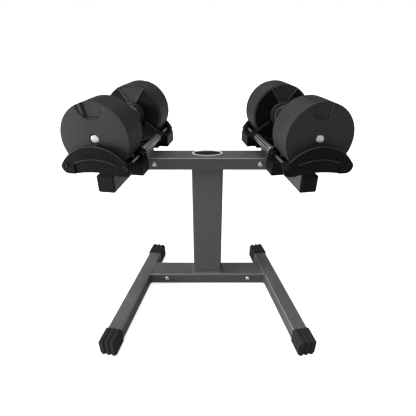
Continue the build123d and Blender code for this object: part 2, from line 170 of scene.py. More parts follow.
def by_ray(tree, others, camera, output):
    """Shows one shader to the camera and another to every other ray."""
    seen = tree.nodes.new("ShaderNodeLightPath")
    either = tree.nodes.new("ShaderNodeMixShader")
    for start, stop in ((seen.outputs["Is Camera Ray"], 0), (others, 1), (camera, 2)):
        tree.links.new(start, either.inputs[stop])
    tree.links.new(either.outputs[0], output)


SKY_LIGHT = 0.16
bpy.context.scene.view_settings.view_transform = "Standard"
world = bpy.data.worlds.new("Studio")
bpy.context.scene.world = world
world.use_nodes = True
tree = world.node_tree
white = tree.nodes.new("ShaderNodeBackground")
white.inputs["Strength"].default_value = 1.0
white.inputs["Color"].default_value = (1, 1, 1, 1)
dim = tree.nodes["Background"]
dim.inputs["Color"].default_value = (1, 1, 1, 1)
dim.inputs["Strength"].default_value = SKY_LIGHT
by_ray(tree, dim.outputs[0], white.outputs[0], tree.nodes["World Output"].inputs["Surface"])


def soft_lamp(name, place, aim, size, power):
    """A square lamp that points from one place to another."""
    data = bpy.data.lights.new(name, "AREA")
    data.size = size
    data.energy = power
    lamp = bpy.data.objects.new(name, data)
    lamp.location = place
    lamp.rotation_euler = (Vector(aim) - Vector(place)).to_track_quat("-Z", "Y").to_euler()
    bpy.context.scene.collection.objects.link(lamp)


middle = (cad_low + cad_high) / 2
soft_lamp("left_softbox", (-2.65, -0.68, 0.62), middle, 1.2, 104)
sun_data = bpy.data.lights.new("overhead", "SUN")
sun_data.energy = 2.8
sun_data.angle = math.radians(70)
overhead = bpy.data.objects.new("overhead", sun_data)
overhead.rotation_euler = (math.radians(8), math.radians(-14), 0)
bpy.context.scene.collection.objects.link(overhead)

# %% [markdown]
# ## Effects that several finishes share
# Paint, iron, plastic and rubber all have some grain, some dust and softened edges. Each effect is
# one node group that gives out only masks, heights and normals. The shader stays in the material.

# %% Helpers for node groups


def open_group(name, inputs, outputs):
    """A group with number inputs and the outputs named, as (tree, what it is given, its results)."""
    group = bpy.data.node_groups.new(name, "ShaderNodeTree")
    for label, value in inputs.items():
        socket = group.interface.new_socket(label, in_out="INPUT", socket_type="NodeSocketFloat")
        socket.default_value = value
    for label, kind in outputs.items():
        group.interface.new_socket(label, in_out="OUTPUT", socket_type="NodeSocket" + kind)
    return group, group.nodes.new("NodeGroupInput").outputs, group.nodes.new("NodeGroupOutput").inputs


def feed(group, socket, value):
    """Links a socket to another one, or sets it to a plain number."""
    if isinstance(value, (int, float)):
        socket.default_value = value
    else:
        group.links.new(value, socket)


def sum_node(group, kind, operation, *values):
    """A "Math" or "VectorMath" node with its values filled in from the top."""
    node = group.nodes.new("ShaderNode" + kind)
    node.operation = operation
    for socket, value in zip(node.inputs, values):
        feed(group, socket, value)
    return node


def range_node(group, value, low, high, to_low=0.0, to_high=1.0):
    """Stretches a value so that low becomes to_low and high to_high, and cuts off the rest."""
    stretch = group.nodes.new("ShaderNodeMapRange")
    labels = ("Value", "From Min", "From Max", "To Min", "To Max")
    for label, number in zip(labels, (value, low, high, to_low, to_high)):
        feed(group, stretch.inputs[label], number)
    return stretch.outputs[0]


def object_place(group):
    """The object's own coordinates."""
    return group.nodes.new("ShaderNodeTexCoord").outputs["Object"]


def noise_node(group, scale, detail):
    """A noise texture on the object's own coordinates, with its scale taken from a socket."""
    noise = group.nodes.new("ShaderNodeTexNoise")
    noise.inputs["Detail"].default_value = detail
    noise.inputs["Roughness"].default_value = 0.55
    feed(group, noise.inputs["Vector"], object_place(group))
    feed(group, noise.inputs["Scale"], scale)
    return noise


def upward(group):
    """How far a face looks up: 1 on a level top, 0 on a wall."""
    split = group.nodes.new("ShaderNodeSeparateXYZ")
    feed(group, split.inputs[0], group.nodes.new("ShaderNodeNewGeometry").outputs["Normal"])
    return split.outputs["Z"]


# %% Fine grain: the tooth of cast iron, moulded plastic and rubber
grain_group, given, result = open_group(
    "Fine grain", {"Scale": 900.0}, {"Mask": "Float", "Height": "Float"})
grain = noise_node(grain_group, given["Scale"], 3.0).outputs[0]
feed(grain_group, result["Mask"], range_node(grain_group, grain, 0.36, 0.64))
feed(grain_group, result["Height"], grain)

# %% Hammered paint: small shallow cells with raised edges
hammer_group, given, result = open_group(
    "Hammered cells", {"Scale": 260.0}, {"Mask": "Float", "Height": "Float"})
bend = noise_node(hammer_group, given["Scale"], 1.0)
shift = sum_node(hammer_group, "VectorMath", "SCALE", bend.outputs["Color"])
shift.inputs["Scale"].default_value = 0.004
moved = sum_node(hammer_group, "VectorMath", "ADD", object_place(hammer_group), shift.outputs[0])
hammered = hammer_group.nodes.new("ShaderNodeTexVoronoi")
hammered.feature = "SMOOTH_F1"
hammered.inputs["Smoothness"].default_value = 0.6
feed(hammer_group, hammered.inputs["Vector"], moved.outputs[0])
feed(hammer_group, hammered.inputs["Scale"], given["Scale"])
distance = hammered.outputs["Distance"]
feed(hammer_group, result["Mask"], range_node(hammer_group, distance, 0.1, 0.6))
feed(hammer_group, result["Height"], distance)

# %% Softened edges: rounds the shading at corners, and gives a mask of them for painted edge highlights
edge_round_and_highlight_group, given, result = open_group(
    "Softened edges", {"Radius": 0.0012, "Low": 0.02, "High": 0.22},
    {"Mask": "Float", "Normal": "Vector"})
bevel = edge_round_and_highlight_group.nodes.new("ShaderNodeBevel")
bevel.samples = 6
feed(edge_round_and_highlight_group, bevel.inputs["Radius"], given["Radius"])
flat = edge_round_and_highlight_group.nodes.new("ShaderNodeNewGeometry").outputs["Normal"]
match = sum_node(edge_round_and_highlight_group, "VectorMath", "DOT_PRODUCT", bevel.outputs[0], flat)
turn = sum_node(edge_round_and_highlight_group, "Math", "SUBTRACT", 1.0, match.outputs["Value"])
edge_highlight_mask = range_node(edge_round_and_highlight_group, turn.outputs[0], given["Low"], given["High"])
feed(edge_round_and_highlight_group, result["Mask"], edge_highlight_mask)
feed(edge_round_and_highlight_group, result["Normal"], bevel.outputs[0])

# %% Settled dust: cloudy, and only on faces that look up. In the paint it is also painted light from above
dust_group, given, result = open_group(
    "Settled dust", {"Scale": 9.0}, {"Mask": "Float", "Clouds": "Float"})
cloud_noise = noise_node(dust_group, given["Scale"], 4.0)
clouds = range_node(dust_group, cloud_noise.outputs[0], 0.3, 0.7)
facing = range_node(dust_group, upward(dust_group), 0.35, 0.95)
both = sum_node(dust_group, "Math", "MULTIPLY", clouds, facing)
feed(dust_group, result["Mask"], both.outputs[0])
feed(dust_group, result["Clouds"], clouds)

# %% Corner highlight: a painted highlight on rounded upper corners, where the faces look partly up
corner_highlight_group, given, result = open_group(
    "Painted corner highlight", {"Centre": 0.7, "Width": 0.3}, {"Mask": "Float"})
away = sum_node(corner_highlight_group, "Math", "SUBTRACT", upward(corner_highlight_group), given["Centre"])
far = sum_node(corner_highlight_group, "Math", "ABSOLUTE", away.outputs[0])
sheen = range_node(corner_highlight_group, far.outputs[0], 0.0, given["Width"], 1.0, 0.0)
feed(corner_highlight_group, result["Mask"], sheen)
print("groups:", [g.name for g in bpy.data.node_groups])

# %% [markdown]
# ## A bench for mixing finishes
# Each finish starts from colour that changes with a mask, roughness that changes with a mask, and
# a bump. These helpers add them one by one, so that each finish below reads like a recipe.

# %% Helpers that add nodes to a material


class Finish:
    """One material with its shader, its group nodes and the steps that build its colour."""

    def __init__(self, name, metallic, specular, roughness):
        self.material = bpy.data.materials.new(name)
        self.material.use_nodes = True
        self.tree = self.material.node_tree
        self.nodes, self.links = self.tree.nodes, self.tree.links
        self.shader = self.nodes["Principled BSDF"]
        self.shader.inputs["Metallic"].default_value = metallic
        self.shader.inputs["Specular IOR Level"].default_value = specular
        self.shader.inputs["Roughness"].default_value = roughness
        self.colour = None
        self.rounded = None

    def effect(self, group, **values):
        """Places a node group with its own values."""
        node = self.nodes.new("ShaderNodeGroup")
        node.node_tree = group
        for label, value in values.items():
            node.inputs[label].default_value = value
        return node

    def tint(self, mask, share, colour, under=None):
        """Mixes another colour over the present one, as far as the mask and share say."""
        weigh = sum_node(self.tree, "Math", "MULTIPLY", mask, share)
        mix = self.nodes.new("ShaderNodeMix")
        mix.data_type = "RGBA"
        self.links.new(weigh.outputs[0], mix.inputs[0])
        if self.colour is None:
            mix.inputs[6].default_value = (*under, 1)
        else:
            self.links.new(self.colour, mix.inputs[6])
        mix.inputs[7].default_value = (*colour, 1)
        self.colour = mix.outputs[2]
        self.links.new(self.colour, self.shader.inputs["Base Color"])

    def rough(self, mask, low, high):
        """Roughness from low to high as the mask goes from 0 to 1."""
        spread = range_node(self.tree, mask, 0.0, 1.0, low, high)
        self.links.new(spread, self.shader.inputs["Roughness"])

    def bump(self, height, strength, depth):
        """Small relief on top of what is already there."""
        relief = self.nodes.new("ShaderNodeBump")
        relief.inputs["Strength"].default_value = strength
        relief.inputs["Distance"].default_value = depth
        self.links.new(height, relief.inputs["Height"])
        if self.rounded is not None:
            self.links.new(self.rounded, relief.inputs["Normal"])
        self.rounded = relief.outputs[0]
        self.links.new(self.rounded, self.shader.inputs["Normal"])

    def soften(self, radius, low, high):
        """Rounded shading at the edges. Gives back the mask of those edges, which the finishes use for
        painted highlights.
        """
        edges = self.effect(edge_round_and_highlight_group, Radius=radius, Low=low, High=high)
        self.rounded = edges.outputs["Normal"]
        self.links.new(self.rounded, self.shader.inputs["Normal"])
        return edges.outputs["Mask"]


# %% [markdown]
# ## Hammertone paint
# The stand has a dark grey stoving paint whose silvery flakes gather in small shallow cells while
# it dries. A flat grey with noise looks like card. Here the cells change colour and relief
# together. The edges and the rounded upper corners are lighter as a painted highlight, and faces
# that look up are lighter in cloudy patches: partly settled dust, partly painted light from above.

# %% Hammertone paint
paint = Finish("hammertone_paint", 0.35, 0.45, 0.42)
paint_edge_highlight = paint.soften(0.0014, 0.03, 0.25)
cells = paint.effect(hammer_group, Scale=330.0)
flakes = paint.effect(grain_group, Scale=1500.0)
paint_dust_and_top_light = paint.effect(dust_group, Scale=7.0)
paint.tint(cells.outputs["Mask"], 1.0, (0.094, 0.095, 0.098), (0.055, 0.056, 0.058))
paint.tint(flakes.outputs["Mask"], 0.35, (0.105, 0.107, 0.11))
# Lighter cloudy patches on faces that look up: partly settled dust, partly painted light from above.
paint.tint(paint_dust_and_top_light.outputs["Mask"], 0.55, (0.2, 0.2, 0.198))
paint_corner_highlight = paint.effect(corner_highlight_group)
# Rounded upper corners lighter: a painted highlight.
paint.tint(paint_corner_highlight.outputs["Mask"], 0.7, (0.3, 0.3, 0.305))
# Lighter edges: a painted highlight.
paint.tint(paint_edge_highlight, 0.4, (0.24, 0.24, 0.245))
paint.rough(cells.outputs["Mask"], 0.36, 0.5)
paint.bump(cells.outputs["Height"], 0.3, 0.0005)

# %% [markdown]
# ## Coated cast iron
# The discs are iron with a matt black coating, which takes a broad soft sheen and never a sharp
# one. A fine pitted grain and slow cloudy changes keep the big faces from looking like plastic.

# %% Disc coating
iron = Finish("coated_iron", 0.0, 0.2, 0.5)
iron_edge_highlight = iron.soften(0.0012, 0.03, 0.3)
pits = iron.effect(grain_group, Scale=1100.0)
iron_clouds = iron.effect(dust_group, Scale=14.0)
iron.tint(pits.outputs["Mask"], 1.0, (0.035, 0.035, 0.037), (0.023, 0.023, 0.025))
iron.tint(iron_clouds.outputs["Clouds"], 0.35, (0.04, 0.04, 0.042))
iron.tint(iron_clouds.outputs["Mask"], 0.2, (0.06, 0.06, 0.06))
# Lighter edges: a painted highlight.
iron.tint(iron_edge_highlight, 0.6, (0.2, 0.2, 0.202))
iron.rough(iron_clouds.outputs["Clouds"], 0.44, 0.58)
iron.bump(pits.outputs["Height"], 0.22, 0.0003)

# %% Lighter iron with strong painted edge highlights, for the index rings
edge_highlight_iron = Finish("iron_painted_edge_highlight", 0.4, 0.4, 0.4)
edge_highlight_iron_mask = edge_highlight_iron.soften(0.0012, 0.02, 0.2)
edge_highlight_iron_pits = edge_highlight_iron.effect(grain_group, Scale=1300.0)
edge_highlight_iron_clouds = edge_highlight_iron.effect(dust_group, Scale=60.0)
edge_highlight_iron.tint(edge_highlight_iron_pits.outputs["Mask"], 1.0, (0.075, 0.075, 0.078), (0.045, 0.045, 0.047))
edge_highlight_iron.tint(edge_highlight_iron_clouds.outputs["Clouds"], 0.4, (0.11, 0.11, 0.112))
# Bright edges: a painted highlight.
edge_highlight_iron.tint(edge_highlight_iron_mask, 0.8, (0.6, 0.6, 0.61))
edge_highlight_iron.rough(edge_highlight_iron_clouds.outputs["Clouds"], 0.3, 0.5)
edge_highlight_iron.bump(edge_highlight_iron_pits.outputs["Height"], 0.2, 0.0002)

# %% [markdown]
# ## Moulded plastic, caps and rubber
# The cradles are satin black plastic, the tube caps duller, and the feet rubber. They share one
# recipe with other numbers: very dark colour, fine grain, and lighter edges as a painted highlight.
# The cradle lips use a lighter, glossier copy of the cradle plastic as a painted highlight.

# %% Black moulded finishes


def moulded(name, dark, light, edge, specular, rough_low, rough_high, grain, depth):
    """A black moulded finish: plastic or rubber, by its grain and gloss."""
    finish = Finish(name, 0.0, specular, rough_low)
    edges = finish.soften(0.001, 0.03, 0.3)
    skin = finish.effect(grain_group, Scale=grain)
    dust = finish.effect(dust_group, Scale=11.0)
    finish.tint(skin.outputs["Mask"], 1.0, (light,) * 3, (dark,) * 3)
    finish.tint(dust.outputs["Mask"], 0.2, (light * 3.0,) * 3)
    # Lighter edges: a painted highlight.
    finish.tint(edges, 0.5, (edge,) * 3)
    finish.rough(dust.outputs["Clouds"], rough_low, rough_high)
    finish.bump(skin.outputs["Height"], 0.25, depth)
    return finish


cradle = moulded("cradle_plastic_satin", 0.003, 0.006, 0.09, 0.1, 0.36, 0.48, 1400.0, 0.0002)
cap = moulded("cap_plastic_matt", 0.007, 0.012, 0.06, 0.1, 0.5, 0.62, 1200.0, 0.0002)
# Dull black for the flute valleys, the disc pockets and the recess ribbons: painted shade.
recess = moulded("painted_shade_black", 0.003, 0.006, 0.03, 0.12, 0.6, 0.75, 1000.0, 0.0003)
rubber = moulded("foot_rubber_matt", 0.010, 0.018, 0.05, 0.22, 0.6, 0.78, 700.0, 0.0005)
grip_rubber = moulded("grip_rubber_matt", 0.014, 0.024, 0.06, 0.25, 0.55, 0.7, 1000.0, 0.0003)
# A lighter, glossier copy of the cradle plastic for the rib lips: a painted highlight on their rounded
# tops.
lip = moulded("cradle_lip_painted_highlight", 0.02, 0.035, 0.2, 0.4, 0.3, 0.42, 1400.0, 0.0002)
print("black finishes:", cradle.material.name, cap.material.name, rubber.material.name)

# %% [markdown]
# ## Bare metal
# Rods and selector pins are turned, which leaves fine lines round the bar. Those lines need the
# handle's direction, so each side has its own steel. The bolts are zinc plated, softer and blotchy.

# %% Turned steel, one for each side, and zinc


def turned_steel(side):
    """Steel with fine turning lines across the handle's axis."""
    finish = Finish(f"turned_steel_{side}", 1.0, 0.5, 0.24)
    edges = finish.soften(0.0008, 0.03, 0.3)
    place = finish.nodes.new("ShaderNodeTexCoord")
    turn = finish.nodes.new("ShaderNodeMapping")
    turn.vector_type = "TEXTURE"
    turn.inputs["Location"].default_value = handle_frame[side].translation
    turn.inputs["Rotation"].default_value = handle_frame[side].to_euler()
    finish.links.new(place.outputs["Object"], turn.inputs["Vector"])
    lines = finish.nodes.new("ShaderNodeTexNoise")
    stretch = finish.nodes.new("ShaderNodeVectorMath")
    stretch.operation = "MULTIPLY"
    stretch.inputs[1].default_value = (60.0, 4200.0, 60.0)
    finish.links.new(turn.outputs[0], stretch.inputs[0])
    finish.links.new(stretch.outputs[0], lines.inputs["Vector"])
    lines.inputs["Scale"].default_value = 1.0
    lines.inputs["Detail"].default_value = 2.0
    clouds = finish.effect(dust_group, Scale=22.0)
    finish.tint(lines.outputs[0], 1.0, (0.95, 0.95, 0.96), (0.78, 0.78, 0.79))
    finish.tint(clouds.outputs["Clouds"], 0.2, (0.62, 0.62, 0.63))
    # Lighter edges: a painted highlight.
    finish.tint(edges, 0.4, (0.85, 0.85, 0.86))
    finish.rough(lines.outputs[0], 0.2, 0.42)
    finish.bump(lines.outputs[0], 0.12, 0.0001)
    return finish


steel = {side: turned_steel(side) for side in SIDES}
zinc = Finish("zinc_plate", 1.0, 0.5, 0.35)
zinc_edge_highlight = zinc.soften(0.0008, 0.03, 0.3)
zinc_spots = zinc.effect(dust_group, Scale=120.0)
zinc_grain = zinc.effect(grain_group, Scale=1800.0)
zinc.tint(zinc_spots.outputs["Clouds"], 1.0, (0.85, 0.86, 0.88), (0.62, 0.625, 0.64))
# Lighter edges: a painted highlight.
zinc.tint(zinc_edge_highlight, 0.4, (0.8, 0.8, 0.82))
zinc.rough(zinc_spots.outputs["Clouds"], 0.26, 0.42)
zinc.bump(zinc_grain.outputs["Height"], 0.12, 0.0001)

# %% [markdown]
# ## The badge
# An oval plate lies on the crossbar, blank, with a bright rim round a dark gloss field. One solid
# carries both colours, so the finish asks whether a place is inside an ellipse or outside it.

# %% Badge finish
badge_low, badge_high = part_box("badge_plate")
badge_middle = (badge_low + badge_high) / 2
badge_half = (badge_high - badge_low) / 2
RIM_WIDTH = 4.5 * MM
badge = Finish("badge_enamel", 0.0, 0.12, 0.2)
badge_edge_highlight = badge.soften(0.0006, 0.05, 0.35)
b_place = badge.nodes.new("ShaderNodeTexCoord")
b_turn = badge.nodes.new("ShaderNodeMapping")
b_turn.vector_type = "TEXTURE"
b_turn.inputs["Location"].default_value = (badge_middle.x, badge_middle.y, badge_high.z)
b_turn.inputs["Scale"].default_value = (badge_half.x - RIM_WIDTH, badge_half.y - RIM_WIDTH, 1000.0)
b_size = badge.nodes.new("ShaderNodeVectorMath")
b_size.operation = "LENGTH"
badge.links.new(b_place.outputs["Object"], b_turn.inputs["Vector"])
badge.links.new(b_turn.outputs[0], b_size.inputs[0])
b_rim = range_node(badge.tree, b_size.outputs["Value"], 0.985, 1.0)
b_clouds = badge.effect(dust_group, Scale=40.0)
badge.tint(b_clouds.outputs["Clouds"], 1.0, (0.007, 0.007, 0.008), (0.003, 0.003, 0.004))
badge.tint(b_rim, 1.0, (0.8, 0.8, 0.81))
# Lighter edges: a painted highlight.
badge.tint(badge_edge_highlight, 0.3, (0.7, 0.7, 0.7))
badge.rough(b_clouds.outputs["Clouds"], 0.14, 0.26)
print("badge half sizes, mm:", [round(v / MM, 1) for v in badge_half])

# %% [markdown]
# ## The floor's own finish
# The floor is matt and nearly white, with a very faint cloudiness. In a studio the floor is lit
# until it is blank, and black cards keep its glare off the objects. The same is done here: the
# camera sees the bright floor, and everything else sees a dimmer one.

# %% Floor finish
paper = Finish("studio_floor", 0.0, 0.0, 0.9)
paper_clouds = paper.effect(dust_group, Scale=1.5)
paper.tint(paper_clouds.outputs["Clouds"], 1.0, (0.93, 0.93, 0.93), (0.92, 0.92, 0.92))
paper.shader.inputs["Emission Color"].default_value = (1, 1, 1, 1)
paper.shader.inputs["Emission Strength"].default_value = 0.66
shade = paper.nodes.new("ShaderNodeBsdfDiffuse")
shade.inputs["Color"].default_value = (0.5, 0.5, 0.5, 1)
by_ray(paper.tree, shade.outputs[0], paper.shader.outputs[0],
       paper.nodes["Material Output"].inputs["Surface"])
floor.data.materials.append(paper.material)

# %% [markdown]
# ## Finishes onto the CAD parts
# A CAD part keeps its mesh, and only its material is swapped. Its name says what it is made of, and
# a part that no line matches is printed, so that none is forgotten.

# %% Assign finishes by part name
FINISH_BY_NAME = (
    ("grip", grip_rubber), ("foot_cap", rubber), ("arm_cap", cap), ("end_support", cradle),
    ("saddle", cradle), ("bolts", zinc), ("badge", badge), ("plate", iron), ("handle_end", iron),
    ("rail", paint), ("arm", paint), ("crosspiece", paint), ("crossbar", paint), ("post", paint),
)
forgotten = []
for name, node in frame["nodes"].items():
    found = None
    if any(word in name for word in ("selector", "rod", "core_tube")):
        found = steel[name.split("_")[0]]
    else:
        found = next((finish for word, finish in FINISH_BY_NAME if word in name), None)
    if found is None:
        forgotten.append(name)
        continue
    node.data.materials.clear()
    node.data.materials.append(found.material)
print("parts without a finish:", forgotten)

# %% [markdown]
# ## Tools for the small pieces
# Small pieces are turned like the grip, run along a line like a weld, or follow an arc like a rib.
# Each gets a mesh tool. A bevelled curve could make a bead, but couldn't ripple it.

# %% Put a mesh into the scene


def place_piece(name, verts, faces, finish, body, smooth=True, second=None):
    """Makes a piece from points in the world and lets it ride on a body.
    second is another finish and the test that says which faces, by number, take it."""
    mesh = bpy.data.meshes.new(name)
    mesh.from_pydata([tuple(v) for v in verts], [], faces)
    if second is not None:
        for number, face in enumerate(mesh.polygons):
            face.material_index = 1 if second[1](number) else 0
    work = bmesh.new()
    work.from_mesh(mesh)
    bmesh.ops.remove_doubles(work, verts=work.verts, dist=1e-6)
    bmesh.ops.recalc_face_normals(work, faces=work.faces)
    work.to_mesh(mesh)
    work.free()
    for face in mesh.polygons:
        face.use_smooth = smooth
    mesh.materials.append(finish.material)
    if second is not None:
        mesh.materials.append(second[0].material)
    piece = bpy.data.objects.new(name, mesh)
    bpy.context.scene.collection.objects.link(piece)
    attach(piece, body)
    return piece


def join_rings(ring_count, points, closed_along, closed_round=True):
    """Faces between rings of the same number of points."""
    faces = []
    last = ring_count if closed_along else ring_count - 1
    turns = points if closed_round else points - 1
    for ring in range(last):
        for step in range(turns):
            a = ring * points + step
            b = ring * points + (step + 1) % points
            c = ((ring + 1) % ring_count) * points + (step + 1) % points
            d = ((ring + 1) % ring_count) * points + step
            faces.append((a, b, c, d))
    return faces


# %% [markdown]
# ## Ribbed grips
# The handle turns in the hand, so its sleeve is ribbed. The CAD sleeve is a plain belly between two
# flanges. The shown one has a groove every few millimetres, and flattened ribs along it break the
# rings up into pads, as a moulded rubber grip has.

# %% Grip sleeves
RIB_PITCH = 4.0 * MM
RIB_DEPTH = 0.55 * MM
FLANGE_LENGTH = 5.0 * MM
SLEEVE_WALL = 3.4 * MM
AROUND = 96
PADS = 16
PAD_CUT = 0.4 * MM


def grip_profile(half, bore, flange):
    """Radius and place along the handle, from the bore out over both flanges and back."""
    body = bore + SLEEVE_WALL
    belly = 1.6 * MM
    soft = 0.8 * MM
    points = [(bore, -half), (flange - soft, -half), (flange, -half + soft)]
    points += [(flange, -half + FLANGE_LENGTH - soft), (flange - soft, -half + FLANGE_LENGTH)]
    start = half - FLANGE_LENGTH
    steps = int(2 * start / RIB_PITCH) * 4
    for i in range(steps + 1):
        y = -start + 2 * start * i / steps
        crown = body + belly * (1 - (y / start) ** 2)
        groove = RIB_DEPTH if i % 4 == 0 and 0 < i < steps else 0.0
        points.append((crown - groove, y))
    points += [(flange - soft, half - FLANGE_LENGTH), (flange, half - FLANGE_LENGTH + soft)]
    points += [(flange, half - soft), (flange - soft, half), (bore, half)]
    return points


for side in SIDES:
    low, high = reach(f"{side}_grip", side, 1)
    half = (high - low) / 2
    flange = reach(f"{side}_grip", side, 2)[1]
    bore = reach(f"{side}_core_tube", side, 2)[1] + 0.06 * MM
    profile = grip_profile(half, bore, flange)
    verts = []
    for radius, y in profile:
        inner_part = abs(y) < half - FLANGE_LENGTH - 4 * MM and radius < flange - 2 * MM
        deep = PAD_CUT if inner_part else 0.0
        radii = [radius - (deep if step % (AROUND // PADS) == 0 else 0.0) for step in range(AROUND)]
        verts += ring(side, 0.0, 0.0, y, radii)
    piece = place_piece(
        f"{side}_ribbed_grip", verts, join_rings(len(profile), AROUND, True), grip_rubber,
        f"{side}_grip")
    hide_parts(f"{side}_grip")
    print(piece.name, "length mm", round(2 * half / MM, 1), "flange mm", round(flange / MM, 1))

# %% [markdown]
# ## Fluted rod sleeves
# Between the cradle's halves the side rods are thicker and fluted, with broad bright ridges and
# narrow valleys. The valleys are dark by a second material slot: painted shade at the foot of each flute.

# %% Rod sleeves
FLUTES = 8
FLUTE_HALF = 73 * MM
RIDGE_RADIUS = 11.8 * MM
VALLEY_RADIUS = 9.6 * MM
SLEEVE_ROUND = FLUTES * 12


def flute_radius(step):
    """Radius of the fluted ring at one of its points: broad ridges, narrow valleys."""
    wave = 0.5 + 0.5 * math.cos(2 * math.pi * FLUTES * step / SLEEVE_ROUND)
    return RIDGE_RADIUS - (RIDGE_RADIUS - VALLEY_RADIUS) * wave ** 3


def in_valley(number):
    """Whether a face of the sleeve lies in the bottom of a flute, which takes painted shade."""
    place = (number % SLEEVE_ROUND) % (SLEEVE_ROUND // FLUTES)
    return place in (0, 1, SLEEVE_ROUND // FLUTES - 1, SLEEVE_ROUND // FLUTES - 2)


def rod_centre(side, rod):
    """Where a side rod runs, across the dumbbell and in height."""
    low_x, high_x = reach(f"{side}_{rod}_side_rod", side, 0)
    low_z, high_z = reach(f"{side}_{rod}_side_rod", side, 2)
    return (low_x + high_x) / 2, (low_z + high_z) / 2


END_STEP = 1 * MM
SLEEVE_BORE = 9.52 * MM
for side, rod in RODS:
    centre_x, centre_z = rod_centre(side, rod)
    rings = [(-FLUTE_HALF, False), (-FLUTE_HALF, True), (-FLUTE_HALF + END_STEP, True)]
    rings += [(FLUTE_HALF - END_STEP, True), (FLUTE_HALF, True), (FLUTE_HALF, False)]
    verts = []
    for index, (y, full) in enumerate(rings):
        chamfer = 0.5 * MM if index in (1, 4) else 0.0
        radii = [flute_radius(step) - chamfer if full else SLEEVE_BORE for step in range(SLEEVE_ROUND)]
        verts += ring(side, centre_x, centre_z, y, radii)
    # The valley faces take the dull black finish: painted shade.
    place_piece(
        f"{side}_{rod}_rod_sleeve", verts, join_rings(len(rings), SLEEVE_ROUND, False),
        steel[side], "stand", second=(recess, in_valley))
    print(side, rod, "sleeve at mm", round(centre_x / MM, 1), round(centre_z / MM, 1))

# %% [markdown]
# ## Weld beads
# The post, crossbar and feet are welded. A bead is a small roll of metal with ripples across it.
# The tool walks along the seam in steps of under a millimetre and swells and shrinks a ring as it
# goes. The same paint covers bead and tube.

# %% Weld tool
BEAD_RADIUS = 2.0 * MM
BEAD_STEP = 0.8 * MM
BEAD_RIPPLE = 3.2 * MM
BEAD_SIDES = 10


def walk(corner_points):
    """Points a step apart along a closed run of straight lines."""
    path = []
    count = len(corner_points)
    for i in range(count):
        a, b = Vector(corner_points[i]), Vector(corner_points[(i + 1) % count])
        steps = max(1, int((b - a).length / BEAD_STEP))
        path += [a.lerp(b, k / steps) for k in range(steps)]
    return path


def weld_bead(name, corner_points):
    """A rippled bead round a closed seam on the stand."""
    path = walk(corner_points)
    verts = []
    travelled = 0.0
    for i, point in enumerate(path):
        before, after = path[i - 1], path[(i + 1) % len(path)]
        along_path = (after - before).normalized()
        helper = Vector((0, 0, 1)) if abs(along_path.z) < 0.9 else Vector((0, 1, 0))
        side_way = along_path.cross(helper).normalized()
        other_way = along_path.cross(side_way)
        ripple = 1 + 0.14 * math.sin(2 * math.pi * travelled / BEAD_RIPPLE)
        wander = 1 + 0.06 * math.sin(travelled / (9 * MM))
        for step in range(BEAD_SIDES):
            angle = 2 * math.pi * step / BEAD_SIDES
            r = BEAD_RADIUS * ripple * wander
            verts.append(point + side_way * r * math.cos(angle) + other_way * r * math.sin(angle))
        travelled += BEAD_STEP
    place_piece(name, verts, join_rings(len(path), BEAD_SIDES, True), paint, "stand")
    print(name, "length mm", round(travelled / MM))


# %% Where the seams are
def soft_rectangle(low, high, z, corner):
    """A level rectangle with cut corners, as points."""
    return [(low.x + corner, low.y, z), (high.x - corner, low.y, z), (high.x, low.y + corner, z),
            (high.x, high.y - corner, z), (high.x - corner, high.y, z), (low.x + corner, high.y, z),
            (low.x, high.y - corner, z), (low.x, low.y + corner, z)]


def end_seam(node, sign):
    """The outline of a cross member's end, where it meets a splayed tube."""
    low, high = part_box(node)
    near = 0.4 * MM
    points = [v.co for v in frame["nodes"][node].data.vertices]
    front = max(p.x * sign for p in points if p.y < low.y + near)
    back = max(p.x * sign for p in points if p.y > high.y - near)
    cut = 3.5 * MM

    def at(share, z):
        x = front + (back - front) * share
        return (sign * x, low.y + (high.y - low.y) * share, z)

    lean = cut / (high.y - low.y)
    return [at(0, low.z + cut), at(0, high.z - cut), at(lean, high.z), at(1 - lean, high.z),
            at(1, high.z - cut), at(1, low.z + cut), at(1 - lean, low.z), at(lean, low.z)]


post_inset = Vector((flange_edge, flange_edge, 0))
bar_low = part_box("top_crossbar")[0]
cross_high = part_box("base_crosspiece")[1]
POST_CORNER = 4 * MM
weld_bead("post_top_weld", soft_rectangle(
    post_low + post_inset, post_high - post_inset, bar_low.z, POST_CORNER))
weld_bead("post_foot_weld", soft_rectangle(post_low, post_high, cross_high.z, POST_CORNER))
for side, sign in zip(SIDES, (-1, 1)):
    weld_bead(f"{side}_crossbar_weld", end_seam("top_crossbar", sign))
    weld_bead(f"{side}_crosspiece_weld", end_seam("base_crosspiece", sign))

# %% [markdown]
# ## Ribs on the moulded cradles
# Each end of a cradle is an arch, stiffened by ribs along its outline: one just inside the crown and
# some above the opening. A rib is a low strip with a rounded top, on the arch's outer face.

# %% Rib tool
RIB_SIDES = 5
HALF_TURNS = [math.pi * k / (RIB_SIDES - 1) for k in range(RIB_SIDES)]
RIB_SECTION = [(math.cos(turn), math.sin(turn)) for turn in HALF_TURNS]
SINK = 0.1 * MM


def arc_rib(name, side, face_y, end, centre_z, radius, angles, width, height, finish):
    """A low rounded rib along an arc of a circle, on a face square to the handle."""
    first, last = angles
    steps = max(12, int((last - first) * radius / (2 * MM)))
    verts = []
    for i in range(steps + 1):
        angle = first + (last - first) * i / steps
        fade = min(1.0, i / 3, (steps - i) / 3)
        for wide, tall in RIB_SECTION:
            r = radius + width / 2 * wide
            y = face_y + end * (height * fade * tall - SINK)
            verts.append(placed(side, r * math.sin(angle), y, centre_z + r * math.cos(angle)))
    faces = join_rings(steps + 1, RIB_SIDES, False)
    return place_piece(name, verts, faces, finish, "stand")


CROWN_RADIUS = 112 * MM
OPENING_RADIUS = 135 * MM
CROWN_DROP = 12 * MM
OPENING_DROP = 52 * MM
WALL_SETBACK = 10 * MM


def opening_centre(side, end_name):
    """Height of the middle of the circle that the arch's opening follows."""
    crown_z = reach(f"{side}_{end_name}_end_support", side, 2)[1]
    return crown_z + CROWN_DROP - OPENING_DROP - OPENING_RADIUS


